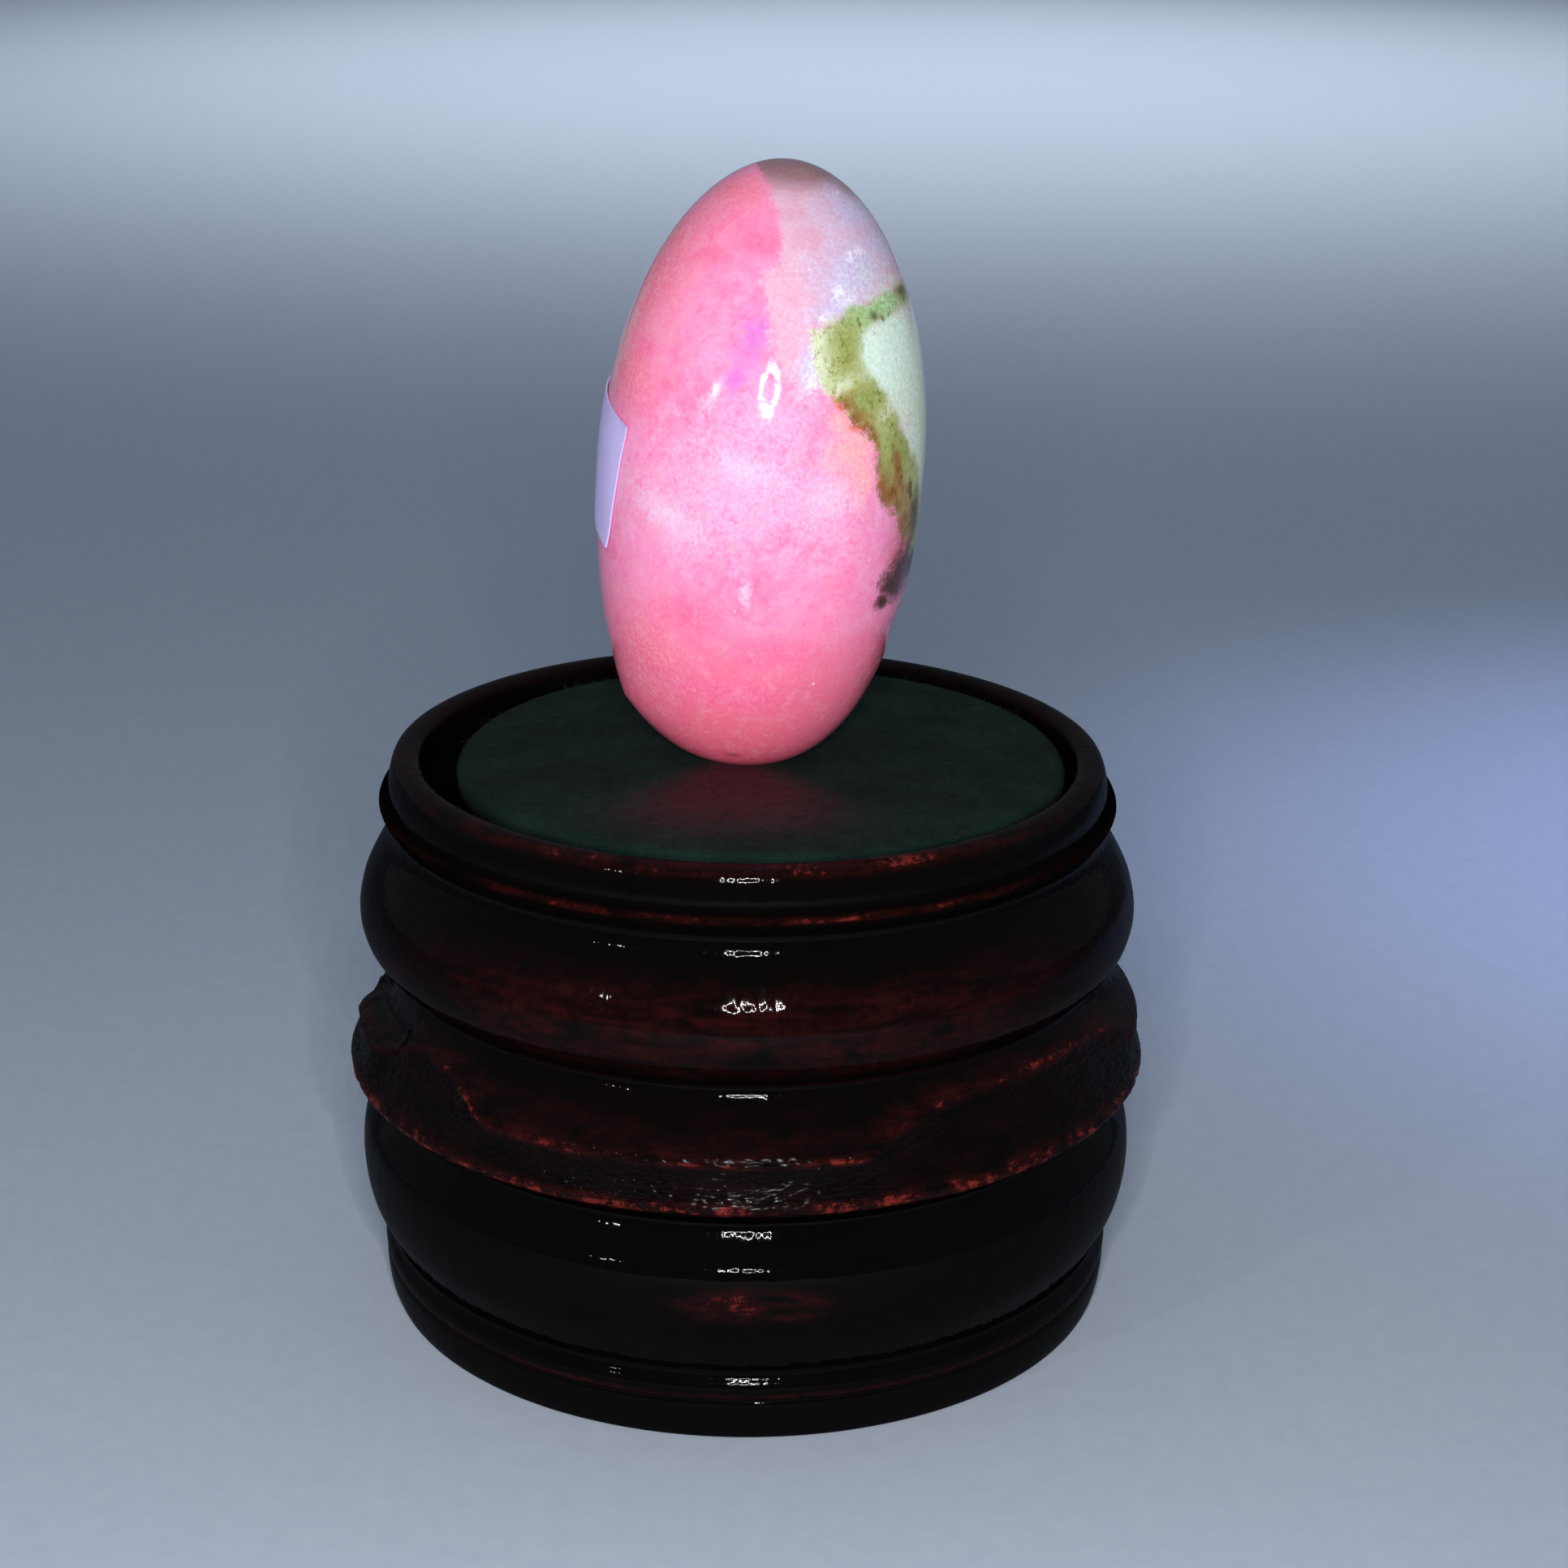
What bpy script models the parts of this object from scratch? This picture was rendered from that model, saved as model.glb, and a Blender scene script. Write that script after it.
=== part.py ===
"""A polished tugtupite egg with a paper label, standing on a felt pad in a turned wooden stand.

Metres, +Z up. The origin is the centre of the stand's foot, on the surface that the stand rests on.
The front of the object looks along -Y, and +X is on its right. Azimuths are counted from the front
towards +X, in degrees.
"""

import math

import bmesh
import bpy
from mathutils import Matrix, Vector

MM = 0.001
GAP = 0.3 * MM

# The stand's turned outline, as radius and height in millimetres, from the recess down to the floor
STAND_SEGMENTS = 68
RIM = (
    (19.1, 31.2), (19.4, 31.5), (19.45, 33.3), (19.75, 33.78), (20.7, 33.88), (21.16, 33.45),
    (21.4, 32.6), (21.52, 32.15), (21.98, 31.45), (22.0, 31.1), (21.45, 30.3),
)
UPPER_BULGE = (
    (21.33, 29.95), (21.6, 29.1), (22.5, 27.55), (23.15, 26.0), (23.32, 25.1), (23.3, 24.2),
    (23.05, 23.3), (22.6, 22.6), (22.0, 21.95),
)
COVE = ((21.35, 21.3), (21.64, 20.5), (22.4, 19.4), (23.45, 18.45), (23.86, 17.9))
RING_LIP = (24.2, 15.3)
RING_UNDERSIDE = ((24.1, 14.95), (23.2, 14.3), (22.0, 13.4))
LOWER_BULGE = (
    (22.18, 12.85), (22.73, 11.95), (23.22, 11.1), (23.53, 10.1), (23.6, 9.0), (23.46, 7.6),
    (23.0, 6.0), (22.5, 5.05), (22.06, 4.15), (22.32, 3.55), (22.44, 3.1),
)
FOOT = ((22.28, 2.45), (22.38, 2.1), (22.35, 1.3), (22.0, 0.0))
RECESS_FLOOR = 31.2 * MM

# The stretches of azimuth where the ring keeps its full edge; between them it is cut back into the cove
TONGUES = ((-38.0, 15.5), (76.0, 124.0), (148.0, 190.0), (214.0, 250.0), (274.0, 291.0))
SCOOP_DEPTH = 0.6
SCOOP_RAMP = 6.5
COVE_ROWS = 4
BAND_HOLLOW = 0.1

# The felt pad, a little off the stand's centre
PAD_RADIUS = 18.2 * MM
PAD_CENTRE = (0.75 * MM, 0.6 * MM)
PAD_TOP = 33.7 * MM
PAD_SHOULDER = 0.9 * MM
PAD_SHOULDER_ROWS = 4
PAD_CROWN = 0.3 * MM
PAD_SEGMENTS = 60

# The stone: an egg on its blunt end, leaning a little to the right, its base resting flat
STONE_RADIUS = 9.42 * MM
STONE_LENGTH = 35.5 * MM
STONE_WIDEST = 0.511
STONE_TOP_POWER = 1.97
STONE_BASE_POWER = 2.45
STONE_LEAN = 4.7
STONE_BASE = (-0.8 * MM, 0.0, 33.25 * MM)
STONE_REST = PAD_TOP + GAP
STONE_SEGMENTS = 44
STONE_ROWS = 22

# The paper label on the stone's left side
LABEL_HEIGHT = 7.5 * MM
LABEL_WIDTH = 11.0 * MM
LABEL_THICKNESS = 0.12 * MM
LABEL_UP_THE_STONE = 18.05 * MM
LABEL_AZIMUTH = -92.9
LABEL_TILT = 11.5
LABEL_COLUMNS = 10
LABEL_LINES = 6

# Looks: name, colour, roughness
STONE_PINK = ("tugtupite", (0.92, 0.40, 0.52), 0.12)
LABEL_WHITE = ("paper", (0.80, 0.78, 0.90), 0.70)
PAD_DARK = ("felt", (0.035, 0.045, 0.045), 0.95)
STAND_DARK = ("lacquered_wood", (0.060, 0.012, 0.010), 0.15)


def clear_scene():
    for thing in list(bpy.data.objects):
        bpy.data.objects.remove(thing, do_unlink=True)


def material(name, colour, roughness):
    made = bpy.data.materials.new(name)
    made.use_nodes = True
    shader = made.node_tree.nodes["Principled BSDF"]
    shader.inputs["Base Color"].default_value = (*colour, 1.0)
    shader.inputs["Roughness"].default_value = roughness
    return made


def around(azimuth):
    """The direction in the XY plane at an azimuth in degrees from the front."""
    turn = math.radians(azimuth)
    return Vector((math.sin(turn), -math.cos(turn), 0.0))


def mix(low, high, share):
    return low + (high - low) * share


def closed_turning(name, profile_at, segments):
    """A solid of rings of points: profile_at(azimuth) gives (radius, height) pairs from the top down.

    The first and last pair have radius 0 and become the two end points.
    """
    mesh = bmesh.new()
    rings = []
    for step in range(segments):
        azimuth = 360.0 * step / segments
        profile = profile_at(azimuth)
        ring = [mesh.verts.new(around(azimuth) * r + Vector((0.0, 0.0, z))) for r, z in profile[1:-1]]
        rings.append(ring)
    top = mesh.verts.new((0.0, 0.0, profile[0][1]))
    bottom = mesh.verts.new((0.0, 0.0, profile[-1][1]))
    for here, after in zip(rings, rings[1:] + rings[:1]):
        mesh.faces.new((top, here[0], after[0]))
        mesh.faces.new((bottom, after[-1], here[-1]))
        for row in range(len(here) - 1):
            mesh.faces.new((here[row], here[row + 1], after[row + 1], after[row]))
    return finished(name, mesh)


def finished(name, mesh):
    """The object of a bmesh: faces outward, smooth, with sharp creases."""
    bmesh.ops.recalc_face_normals(mesh, faces=mesh.faces)
    data = bpy.data.meshes.new(name)
    mesh.to_mesh(data)
    mesh.free()
    data.shade_smooth()
    data.set_sharp_from_angle(angle=math.radians(40.0))
    piece = bpy.data.objects.new(name, data)
    bpy.context.scene.collection.objects.link(piece)
    return piece


def scoop(azimuth):
    """How far the ring's edge is cut back into the cove at an azimuth: 0 on a tongue, up to SCOOP_DEPTH."""
    for start, end in TONGUES:
        if start <= azimuth <= end or start <= azimuth - 360.0 <= end:
            return 0.0
    ends = [limit + turn for tongue in TONGUES for limit in tongue for turn in (-360.0, 0.0, 360.0)]
    nearest = min(abs(azimuth - limit) for limit in ends)
    return SCOOP_DEPTH * (1.0 - math.exp(-nearest / SCOOP_RAMP))


def along(points, share):
    """A place on the line through points, from 0 at its first point to 1 at its last."""
    place = min(share, 0.9999) * (len(points) - 1)
    index = int(place)
    (r0, z0), (r1, z1) = points[index:index + 2]
    return mix(r0, r1, place - index), mix(z0, z1, place - index)


def ring_points(cut):
    """The carved ring from the waist down its cove, over its edge and band to its lip, and under it."""
    cove = [along(COVE, (1.0 - cut) * row / COVE_ROWS) for row in range(COVE_ROWS + 1)]
    edge = cove[-1]
    band = [(mix(edge[0], RING_LIP[0], share) - BAND_HOLLOW, mix(edge[1], RING_LIP[1], share))
            for share in (0.3, 0.7)]
    return [*cove, *band, RING_LIP, *RING_UNDERSIDE]


def stand_profile(azimuth):
    outline = [*RIM, *UPPER_BULGE, *ring_points(scoop(azimuth)), *LOWER_BULGE, *FOOT]
    points = [(radius * MM, height * MM) for radius, height in outline]
    return [(0.0, RECESS_FLOOR), *points, (0.0, 0.0)]


def build_stand():
    stand = closed_turning("stand", stand_profile, STAND_SEGMENTS)
    stand.data.materials.append(material(*STAND_DARK))
    return stand


def pad_profile(_azimuth):
    """A thick round of felt: a low crown, a rounded shoulder and an upright edge."""
    flat = PAD_RADIUS - PAD_SHOULDER
    shoulder_top = PAD_TOP - PAD_CROWN
    points = [(0.0, PAD_TOP), (flat * 0.45, PAD_TOP - PAD_CROWN * 0.2)]
    for row in range(PAD_SHOULDER_ROWS + 1):
        turn = math.radians(90.0) * row / PAD_SHOULDER_ROWS
        radius = flat + PAD_SHOULDER * math.sin(turn)
        points.append((radius, shoulder_top - PAD_SHOULDER * (1.0 - math.cos(turn))))
    points += [(PAD_RADIUS - 0.1 * MM, RECESS_FLOOR + GAP), (0.0, RECESS_FLOOR + GAP)]
    return points


def build_pad():
    pad = closed_turning("felt_pad", pad_profile, PAD_SEGMENTS)
    pad.location = (*PAD_CENTRE, 0.0)
    pad.data.materials.append(material(*PAD_DARK))
    return pad


def stone_radius(up):
    """The egg's radius at a height along its axis: two half ovals that meet at its widest."""
    widest = STONE_WIDEST * STONE_LENGTH
    if up >= widest:
        share, power = (up - widest) / (STONE_LENGTH - widest), STONE_TOP_POWER
    else:
        share, power = (widest - up) / widest, STONE_BASE_POWER
    return STONE_RADIUS * max(0.0, 1.0 - min(1.0, share) ** power) ** (1.0 / power)


def stone_point(azimuth, up, out=0.0):
    """A point on the egg's surface in its own frame, or a little way out of it along its normal."""
    step = 0.01 * MM
    rise = stone_radius(up + step) - stone_radius(up - step)
    tilt = math.atan2(rise, 2.0 * step)
    radius = stone_radius(up) + out * math.cos(tilt)
    return around(azimuth) * radius + Vector((0.0, 0.0, up - out * math.sin(tilt)))


def stone_profile(_azimuth):
    points = []
    for row in range(STONE_ROWS + 1):
        up = STONE_LENGTH * 0.5 * (1.0 + math.cos(math.pi * row / STONE_ROWS))
        points.append((stone_radius(up), up))
    return points


def place_on_lean(piece):
    piece.rotation_euler = (0.0, math.radians(STONE_LEAN), 0.0)
    piece.location = STONE_BASE


def rest_flat(stone):
    """Presses the lowest part of the leaning egg up to the level plane that it rests on."""
    lean = math.radians(STONE_LEAN)
    for vertex in stone.data.vertices:
        x, _y, z = vertex.co
        level = (STONE_REST - STONE_BASE[2] + x * math.sin(lean)) / math.cos(lean)
        vertex.co.z = max(z, level)


def build_stone():
    stone = closed_turning("stone", stone_profile, STONE_SEGMENTS)
    rest_flat(stone)
    place_on_lean(stone)
    stone.data.materials.append(material(*STONE_PINK))
    return stone


def label_point(across, upward, out):
    """A point of the label, from its place on the flat sheet, laid on the egg."""
    turned = Matrix.Rotation(math.radians(-LABEL_TILT), 2) @ Vector((across, upward))
    up = LABEL_UP_THE_STONE + turned.y
    azimuth = LABEL_AZIMUTH + math.degrees(turned.x / stone_radius(up))
    return stone_point(azimuth, up, out)


def build_label():
    """A sheet of even thickness that follows the egg, a gap away from it."""
    mesh = bmesh.new()
    sheets = []
    for out in (GAP, GAP + LABEL_THICKNESS):
        rows = []
        for line in range(LABEL_LINES + 1):
            upward = LABEL_HEIGHT * (line / LABEL_LINES - 0.5)
            places = [LABEL_WIDTH * (column / LABEL_COLUMNS - 0.5) for column in range(LABEL_COLUMNS + 1)]
            rows.append([mesh.verts.new(label_point(across, upward, out)) for across in places])
        sheets.append(rows)
    inner, outer = sheets
    for line in range(LABEL_LINES):
        for column in range(LABEL_COLUMNS):
            corners = ((line, column), (line, column + 1), (line + 1, column + 1), (line + 1, column))
            mesh.faces.new([outer[y][x] for y, x in corners])
            mesh.faces.new([inner[y][x] for y, x in reversed(corners)])
    border = [(0, column) for column in range(LABEL_COLUMNS)]
    border += [(line, LABEL_COLUMNS) for line in range(LABEL_LINES)]
    border += [(LABEL_LINES, column) for column in range(LABEL_COLUMNS, 0, -1)]
    border += [(line, 0) for line in range(LABEL_LINES, 0, -1)]
    for (y, x), (next_y, next_x) in zip(border, border[1:] + border[:1]):
        mesh.faces.new((inner[y][x], inner[next_y][next_x], outer[next_y][next_x], outer[y][x]))
    label = finished("label", mesh)
    place_on_lean(label)
    label.data.materials.append(material(*LABEL_WHITE))
    return label


clear_scene()
build_stand()
build_pad()
build_stone()
build_label()
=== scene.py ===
"""Looks of a polished tugtupite egg with a bare paper label, on a felt-lined, turned and lacquered stand.

Metres, +Z up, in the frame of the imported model. The front looks along -Y, and azimuths are counted from
the front towards +X, in degrees. Places on the stone are an azimuth and a height up the stone's own axis.
"""

import math
import random

import bpy
import numpy as np
from mathutils import Matrix, Vector, noise


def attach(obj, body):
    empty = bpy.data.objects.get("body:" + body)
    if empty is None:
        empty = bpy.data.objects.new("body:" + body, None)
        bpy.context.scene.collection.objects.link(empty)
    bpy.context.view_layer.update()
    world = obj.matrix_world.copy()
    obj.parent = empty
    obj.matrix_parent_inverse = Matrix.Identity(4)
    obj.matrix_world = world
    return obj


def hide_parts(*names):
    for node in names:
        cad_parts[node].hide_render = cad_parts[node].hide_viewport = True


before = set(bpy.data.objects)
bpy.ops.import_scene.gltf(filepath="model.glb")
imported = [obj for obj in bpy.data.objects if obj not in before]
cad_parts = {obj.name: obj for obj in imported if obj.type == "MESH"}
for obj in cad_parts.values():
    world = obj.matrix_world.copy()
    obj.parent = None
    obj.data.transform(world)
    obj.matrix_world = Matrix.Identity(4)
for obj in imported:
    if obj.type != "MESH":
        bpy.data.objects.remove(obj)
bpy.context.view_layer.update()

MM = 0.001

# The photograph's camera
IMAGE_SIDE = 1932
FOCAL_PIXELS = 3800.0
SENSOR_WIDTH = 36.0
CAMERA_PLACE = Vector((0.0, -175.0 * MM, 91.8 * MM))
CAMERA_YAW = math.radians(0.70)
CAMERA_PITCH = math.radians(19.0)
CAMERA_ROLL = math.radians(0.6)

# The lamps: a ring of small ones round the lens and a single one on the left, all turned to the aim, and two
# soft spots on the floor
RING_LAMPS = 18
RING_RADIUS = 17.0 * MM
RING_LAMP_SIZE = 1.5 * MM
RING_POWER = 0.32
RING_TINT = (1.0, 0.97, 0.98)
SIDE_LAMP_AZIMUTH = -39.0
SIDE_LAMP_DISTANCE = 190.0 * MM
SIDE_LAMP_HEIGHT = 95.0 * MM
SIDE_LAMP_SIZE = 7.0 * MM
SIDE_LAMP_POWER = 0.03
SIDE_LAMP_TINT = (1.0, 0.96, 0.88)
AIM = Vector((0.0, 0.0, 38.0 * MM))
GLOW_PLACE = Vector((50.0 * MM, 700.0 * MM, 600.0 * MM))
GLOW_POWER = 14.0
GLOW_ANGLE = 84.0
GLOW_TINT = (0.96, 0.99, 1.0)
BLUE_PLACE = Vector((105.0 * MM, 70.0 * MM, 300.0 * MM))
BLUE_POWER = 2.2
BLUE_ANGLE = 34.0
BLUE_TINT = (0.45, 0.55, 1.0)
SPOT_SIZE = 20.0 * MM

# The room: its light from the camera's side and from beyond the object, the Y of a direction where each of
# the two is full, and its floor
ROOM_DIM = (0.045, 0.052, 0.065, 1.0)
ROOM_BRIGHT = (0.27, 0.315, 0.38, 1.0)
ROOM_FADE = (-0.9, 0.3)
FLOOR_HALF_SIDE = 3.0
FLOOR_DROP = 0.05 * MM

# The stand's turned outline, as radius and height in millimetres, from the recess down to the floor. The
# steps are the points of the mesh from one point of the outline to the next.
STAND_SEGMENTS = 340
RIM_STEPS = 4
TURNING_STEPS = 3
RECESS_FLOOR = 31.2
RECESS_RINGS = (0.3, 0.7, 0.95, 0.985)
RIM = (
    (19.4, 31.5), (19.45, 33.3), (19.75, 33.78), (20.25, 33.92), (20.7, 33.88), (21.0, 33.72),
    (21.16, 33.45), (21.28, 33.1), (21.4, 32.6), (21.45, 32.15), (21.48, 31.75), (21.72, 31.6),
    (21.95, 31.42), (22.0, 31.1), (21.8, 30.7), (21.45, 30.3), (21.33, 29.95),
)
UPPER_BULGE = (
    RIM[-1], (21.42, 29.55), (21.6, 29.1), (22.03, 28.35), (22.48, 27.55), (22.93, 26.65),
    (23.15, 25.95), (23.31, 25.1), (23.3, 24.2), (23.05, 23.3), (22.6, 22.6), (22.0, 21.95),
    (21.5, 21.55), (21.35, 21.3),
)
COVE = (
    UPPER_BULGE[-1], (21.4, 21.0), (21.58, 20.65), (21.93, 20.1), (22.38, 19.5), (22.95, 18.9),
    (23.45, 18.45), (23.76, 18.15), (23.86, 17.8),
)
LEDGE_COVE = (
    UPPER_BULGE[-1], (21.42, 20.8), (21.5, 20.2), (21.6, 19.6), (21.8, 19.0), (22.2, 18.5),
    (22.8, 18.2), (23.3, 18.05), (23.6, 17.85),
)
LIP = (24.2, 15.3)
UNDERSIDE = (LIP, (24.1, 14.95), (23.6, 14.55), (22.9, 14.1), (22.3, 13.7), (22.0, 13.4))
LOWER_BULGE = (
    UNDERSIDE[-1], (22.05, 13.15), (22.18, 12.85), (22.45, 12.4), (22.78, 11.95), (23.1, 11.5),
    (23.34, 11.1), (23.48, 10.65), (23.56, 10.1), (23.6, 9.3), (23.57, 8.5), (23.46, 7.6),
    (23.22, 6.6), (22.88, 5.8), (22.5, 5.05), (22.2, 4.5), (22.06, 4.15), (22.13, 3.85),
    (22.32, 3.55), (22.44, 3.2), (22.4, 2.7),
)
FOOT = (LOWER_BULGE[-1], (22.28, 2.45), (22.38, 2.2), (22.35, 1.4), (22.22, 0.6), (22.0, 0.0))

# How far the rim dips to the right, and between which heights the dip sets in
RIM_TILT = 0.1
TILT_RISE = (29.0, 31.5)

# The stretches of azimuth where the ring keeps its full edge. Between them it is cut back into the cove, by
# up to a share of the cove's slope that grows over some degrees from a tongue's end. All of it is off by up
# to the wobble, in degrees. On the stretch of the ledge the cove is steeper, with a narrow flat at its foot.
TONGUES = ((-38.0, 15.5), (76.0, 124.0), (148.0, 190.0), (214.0, 250.0), (274.0, 291.0))
SCOOP_DEPTH = 0.6
SCOOP_RAMP = 6.5
WOBBLE = 1.4
WOBBLE_PACE = 9.0
LEDGE = (262.0, 297.0)
LEDGE_SOFTNESS = 3.0
COVE_ROWS = 22

# The ring's outer band, hollow in the middle. The slope above grows redder towards it, painted light on its
# lit outer part. The band and the underside are redder at their edges, between two shares of the way down,
# partly wear and partly painted light on the lit edges.
PAINTED_SLOPE_LIGHT = 0.95
BAND_ROWS = 14
BAND_HOLLOW = 0.2
BAND_RUB = 0.12
BAND_UPPER_EDGE = (0.18, 0.0)
BAND_LOWER_EDGE = (0.8, 0.95)
UNDER_EDGE = (0.45, 0.15)

# How far the surface is off the turned outline, in millimetres: everywhere, where it is carved by hand, and
# more within some degrees of a tongue's end, where it is crumbled
WAVES = 0.012
WAVE_SIZE = 3.0
CARVING = 0.035
CRUMBLING = 0.11
CRUMBLED_FROM = (8.0, 2.0)
CRUMB_SIZE = 0.75

# Small lumps left on the ring's left ledge: azimuth, height, how far out, width and height in millimetres
CHIPS = ((275.0, 18.3, 0.35, 0.5, 0.3), (268.0, 18.5, 0.4, 0.45, 0.35), (282.0, 18.1, 0.25, 0.4, 0.3))

# Where the lacquer is redder, partly from wear and partly as painted light from the front: height in
# millimetres, its spread and its strength, which is full over a core that is a share of the spread. It fades
# between two azimuths to a share of that at the sides, which is painted light, the front facing the lamps.
# The patch is an azimuth, a height, its half width in degrees, its half height and its strength.
RUBBED = ((33.9, 0.7, 0.9), (31.3, 0.3, 0.9), (25.0, 3.8, 0.62), (21.5, 0.2, 0.6), (2.75, 0.22, 0.7))
RUB_CORE = 0.25
PAINTED_LIGHT_FADE = (60.0, 24.0)
PAINTED_LIGHT_AT_SIDES = 0.3
RUBBED_PATCH = (1.0, 9.1, 12.5, 1.4, 0.85)

# The gloss of the lacquer, its relief, and the worn bead under the rim: height, and how far the wear reaches
GLOSS = 0.12
FLOW_DEPTH = 0.05 * MM
CUT_DEPTH = 0.15 * MM
WORN_BEAD = 31.4
WORN_REACH = (0.4, 0.7)

# The felt pad: a thick round, slightly crowned, with a rounded shoulder and an uneven top
PAD_RADIUS = 18.2 * MM
PAD_CENTRE = Vector((0.75 * MM, 0.6 * MM, 0.0))
PAD_TOP = 33.7 * MM
PAD_FLOOR = 31.5 * MM
PAD_SHOULDER = 0.9 * MM
PAD_CROWN = 0.3 * MM
PAD_SEGMENTS = 240
PAD_RINGS = 90
SHOULDER_RINGS = 10
PAD_GRAIN = 0.035 * MM
PAD_GRAIN_SIZE = 1.2 * MM
PAD_WAVES = 0.05 * MM
PAD_WAVE_SIZE = 6.0 * MM

# The loose fibres on it: their number, and the least and most of their bend in degrees and of their length,
# half width, height over the felt and arch in millimetres
FIBRES = 4600
FIBRE_STEPS = 3
FIBRE_BEND = (-70.0, 70.0)
FIBRE_LENGTH = (0.35, 1.3)
FIBRE_HALF_WIDTH = (0.010, 0.022)
FIBRE_HEIGHT = (-0.02, 0.05)
FIBRE_ARCH = (0.0, 0.12)

# The stone's light thrown on the felt, painted into the felt's colour as a painted reflection: the distances
# from its foot, in millimetres, and the azimuths where it ends and where it is full
PAINTED_BOUNCE_REACH = (17.0, 8.0)
PAINTED_BOUNCE_TURN = (46.0, 14.0)
PAINTED_BOUNCE_SHARE = 0.85

# The stone: two half ovals with powers of their own, widest at a share of its length. It leans to the right,
# and its foot is pressed flat at the height where it rests.
STONE_RADIUS = 9.42 * MM
STONE_LENGTH = 35.5 * MM
STONE_WIDEST = 0.511
STONE_TOP_POWER = 1.97
STONE_BASE_POWER = 2.45
STONE_LEAN = math.radians(4.7)
STONE_BASE = Vector((-0.8 * MM, 0.0, 33.25 * MM))
STONE_REST = 33.6 * MM
STONE_SEGMENTS = 300
STONE_ROWS = 220
TIP_DROP = 0.02 * MM
LEAN = Matrix.Translation(STONE_BASE) @ Matrix.Rotation(STONE_LEAN, 4, "Y")

# The dents of hand polishing: their depth in millimetres, their size, and an offset that keeps them inside
DENTS = 0.03
DENT_SIZE = 8.0 * MM
DENT_OFFSET = 1.0

# The label, with the gap under it, the lift of its corners and the depth of its ripple
LABEL_HEIGHT = 7.5 * MM
LABEL_WIDTH = 11.0 * MM
LABEL_THICKNESS = 0.10 * MM
LABEL_UP_THE_STONE = 18.05 * MM
LABEL_AZIMUTH = -92.9
LABEL_TILT = 11.5
LABEL_GAP = 0.03 * MM
CORNER_LIFT = 0.16 * MM
LABEL_RIPPLE = 0.02 * MM
LABEL_COLUMNS = 66
LABEL_LINES = 48


def around(azimuth):
    """The direction in the XY plane at an azimuth in degrees from the front."""
    turn = math.radians(azimuth)
    return Vector((math.sin(turn), -math.cos(turn), 0.0))


def mix(low, high, share):
    """The value a share of the way from low to high."""
    return low + (high - low) * share


def smooth(low, high, value):
    """0 below low, 1 above high, and a soft step between them; low may be the greater one."""
    share = min(1.0, max(0.0, (value - low) / (high - low)))
    return share * share * (3.0 - 2.0 * share)


def turned_apart(first, second):
    """The difference of two azimuths, from -180 to 180 degrees."""
    return (first - second + 180.0) % 360.0 - 180.0


def colour(red, green, blue):
    """The linear colour of three sRGB values from 0 to 255."""
    values = []
    for value in (red, green, blue):
        share = value / 255.0
        values.append(share / 12.92 if share <= 0.04045 else ((share + 0.055) / 1.055) ** 2.4)
    return (*values, 1.0)


def speckle(point, size, octaves=3):
    """Smooth random relief from about -1 to 1 with features of a size in the point's own unit."""
    return noise.fractal(point / size, 0.8, 2.1, octaves)


def mesh_object(name, points, faces):
    """A smooth-shaded mesh object in the scene."""
    data = bpy.data.meshes.new(name)
    data.from_pydata([tuple(point) for point in points], [], faces)
    data.update()
    data.shade_smooth()
    piece = bpy.data.objects.new(name, data)
    bpy.context.scene.collection.objects.link(piece)
    return piece


def closed_turning(name, rings, top, bottom):
    """A closed mesh from rings of points, the top ring first, and its two end points."""
    count = len(rings[0])
    points = [point for ring in rings for point in ring] + [top, bottom]
    top_index, bottom_index = len(points) - 2, len(points) - 1
    last = (len(rings) - 1) * count
    faces = []
    for place in range(count):
        after = (place + 1) % count
        faces.append((top_index, place, after))
        faces.append((bottom_index, last + after, last + place))
        for row in range(len(rings) - 1):
            here, below = row * count, (row + 1) * count
            faces.append((here + place, below + place, below + after, here + after))
    return mesh_object(name, points, faces)


def attribute(piece, name, values):
    """Stores one number for each point of a mesh, which its material reads by name."""
    made = piece.data.attributes.new(name, "FLOAT", "POINT")
    made.data.foreach_set("value", np.asarray(values, np.float32))


def through(points, steps):
    """A smooth line through points, with a number of steps between each two."""
    padded = [points[0]] + list(points) + [points[-1]]
    line = []
    for index in range(len(points) - 1):
        before, start, end, after = (Vector(point) for point in padded[index:index + 4])
        for step in range(steps):
            t = step / steps
            spot = 0.5 * (2.0 * start + (end - before) * t
                          + (2.0 * before - 5.0 * start + 4.0 * end - after) * t * t
                          + (3.0 * start - before - 3.0 * end + after) * t ** 3)
            line.append(tuple(spot))
    return line + [tuple(points[-1])]


def along(points, share):
    """A place on the line through points, from 0 at its first point to 1 at its last."""
    place = min(share, 0.9999) * (len(points) - 1)
    index = int(place)
    (r0, z0), (r1, z1) = points[index:index + 2]
    return mix(r0, r1, place - index), mix(z0, z1, place - index)


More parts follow.
